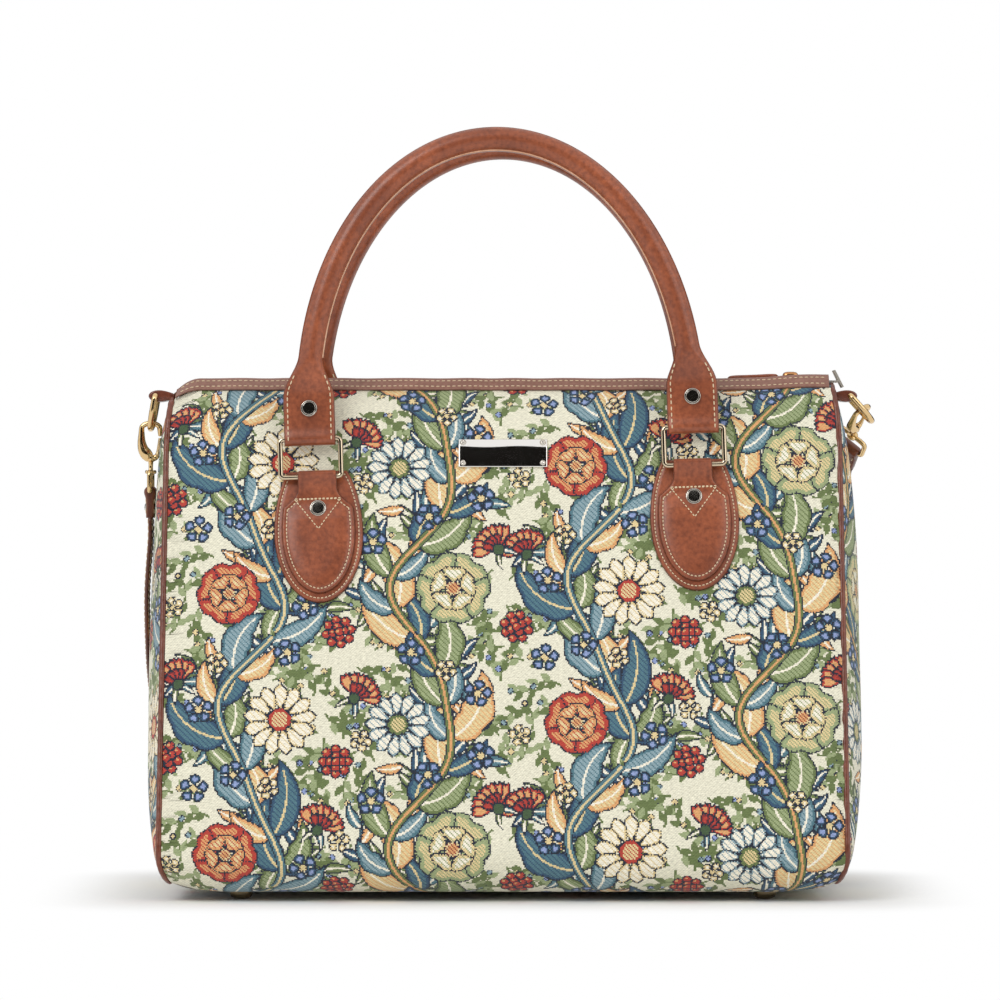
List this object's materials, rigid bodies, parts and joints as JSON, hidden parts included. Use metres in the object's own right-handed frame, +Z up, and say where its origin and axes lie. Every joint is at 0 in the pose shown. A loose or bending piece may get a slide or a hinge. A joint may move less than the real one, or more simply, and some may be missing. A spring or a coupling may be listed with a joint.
{
  "type": "tapestry travel bag",
  "caption": "Zip-top travel bag of woven floral cloth on a board base, with rolled leather handles on rings, leather patches, piping and a clip-on shoulder strap.",
  "frame": {"origin": "on the floor, midway between the four feet", "axes": "+Z up, the front with the name plate faces -Y, +X to the right as seen from the front"},
  "size_m": [0.4289, 0.2052, 0.4422],
  "materials": {
    "tapestry": "woven",
    "piping_leather": "satin",
    "trim_leather": "satin",
    "zip_tape": "woven",
    "base_board": "matte",
    "name_plate": "polished",
    "zip_brass": "polished",
    "pale_gold": "polished",
    "bright_nickel": "polished",
    "tan_leather": "semi-gloss"
  },
  "bodies": {
    "bag": {"front_panel": "tapestry", "base_panel": "tapestry", "rear_panel": "tapestry", "left_end_panel": "tapestry", "right_end_panel": "tapestry", "left_piping": "piping_leather", "right_piping": "piping_leather", "base_board": "base_board", "feet": "bright_nickel", "front_zip_trim": "trim_leather", "rear_zip_trim": "trim_leather", "front_zip_tape": "zip_tape", "rear_zip_tape": "zip_tape", "front_zip_teeth": "zip_brass", "rear_zip_teeth": "zip_brass", "zip_end_clip": "bright_nickel", "name_plate": "name_plate", "plate_screws": "bright_nickel", "front_left_patch": "tan_leather", "front_right_patch": "tan_leather", "front_left_chape": "tan_leather", "front_right_chape": "tan_leather", "front_chape_studs": "bright_nickel", "rear_left_patch": "tan_leather", "rear_right_patch": "tan_leather", "rear_left_chape": "tan_leather", "rear_right_chape": "tan_leather", "rear_chape_studs": "bright_nickel", "left_tab": "tan_leather", "right_tab": "tan_leather", "left_strap": "tan_leather", "right_strap": "tan_leather", "strap_buckle": "pale_gold"},
    "zip_slider": {"zip_slider": "zip_brass"},
    "zip_pull": {"zip_link": "zip_brass", "zip_tag": "tan_leather"},
    "front_rings": {"front_left_ring": "pale_gold", "front_right_ring": "pale_gold"},
    "front_handle": {"front_handle": "tan_leather", "front_handle_studs": "bright_nickel"},
    "rear_rings": {"rear_left_ring": "pale_gold", "rear_right_ring": "pale_gold"},
    "rear_handle": {"rear_handle": "tan_leather", "rear_handle_studs": "bright_nickel"},
    "left_swing": {"left_dee": "pale_gold", "left_eye": "pale_gold", "left_strap_end": "tan_leather"},
    "left_hook": {"left_hook": "pale_gold"},
    "left_gate": {"left_gate": "bright_nickel"},
    "right_swing": {"right_dee": "pale_gold", "right_eye": "pale_gold", "right_strap_end": "tan_leather"},
    "right_hook": {"right_hook": "pale_gold"},
    "right_gate": {"right_gate": "bright_nickel"}
  },
  "joints": [
    {"name": "front_rings_swing", "type": "hinge", "parent": "bag", "child": "front_rings", "pos_m": [0, -0.04591, 0.2436], "axis": [0.9995, 0.0088, 0.032], "range_deg": [-4, 115]},
    {"name": "front_handle_swing", "type": "hinge", "parent": "front_rings", "child": "front_handle", "pos_m": [-0.00072, -0.04362, 0.26546], "axis": [0.9995, 0.0088, 0.032], "range_deg": [-3, 55]},
    {"name": "rear_rings_swing", "type": "hinge", "parent": "bag", "child": "rear_rings", "pos_m": [0, 0.04591, 0.2436], "axis": [-1, 0, 0], "range_deg": [-4, 115]},
    {"name": "rear_handle_swing", "type": "hinge", "parent": "rear_rings", "child": "rear_handle", "pos_m": [0, 0.04361, 0.26548], "axis": [-1, 0, 0], "range_deg": [-3, 55]},
    {"name": "zip_slide", "type": "slide", "parent": "bag", "child": "zip_slider", "axis": [1, 0, 0], "range_m": [-0.318, 0]},
    {"name": "zip_pull_flip", "type": "hinge", "parent": "zip_slider", "child": "zip_pull", "pos_m": [0.167, 0, 0.29803], "axis": [0, 1, 0], "range_deg": [0, 150]},
    {"name": "left_dee_swing", "type": "hinge", "parent": "bag", "child": "left_swing", "pos_m": [-0.202, 0, 0.2875], "axis": [0, 1, 0], "range_deg": [0, 50], "deforming": ["left_strap"]},
    {"name": "left_hook_swivel", "type": "hinge", "parent": "left_swing", "child": "left_hook", "pos_m": [-0.20533, 0, 0.26859], "axis": [0, 0, 1], "range_deg": [-20, 20]},
    {"name": "left_gate_press", "type": "hinge", "parent": "left_hook", "child": "left_gate", "pos_m": [-0.20133, 0, 0.25379], "axis": [0, -1, 0], "range_deg": [0, 25], "stiffness_Nm_per_rad": 0.02, "springref_deg": -17.19},
    {"name": "right_dee_swing", "type": "hinge", "parent": "bag", "child": "right_swing", "pos_m": [0.202, 0, 0.2875], "axis": [0, -1, 0], "range_deg": [0, 40], "deforming": ["right_strap"]},
    {"name": "right_hook_swivel", "type": "hinge", "parent": "right_swing", "child": "right_hook", "pos_m": [0.20992, 0.01052, 0.27871], "axis": [0.1454, -0.8305, 0.5377], "range_deg": [-20, 20]},
    {"name": "right_gate_press", "type": "hinge", "parent": "right_hook", "child": "right_gate", "pos_m": [0.21082, 0.02457, 0.27264], "axis": [0.6288, -0.342, -0.6983], "range_deg": [0, 25], "stiffness_Nm_per_rad": 0.02, "springref_deg": -17.19}
  ]
}
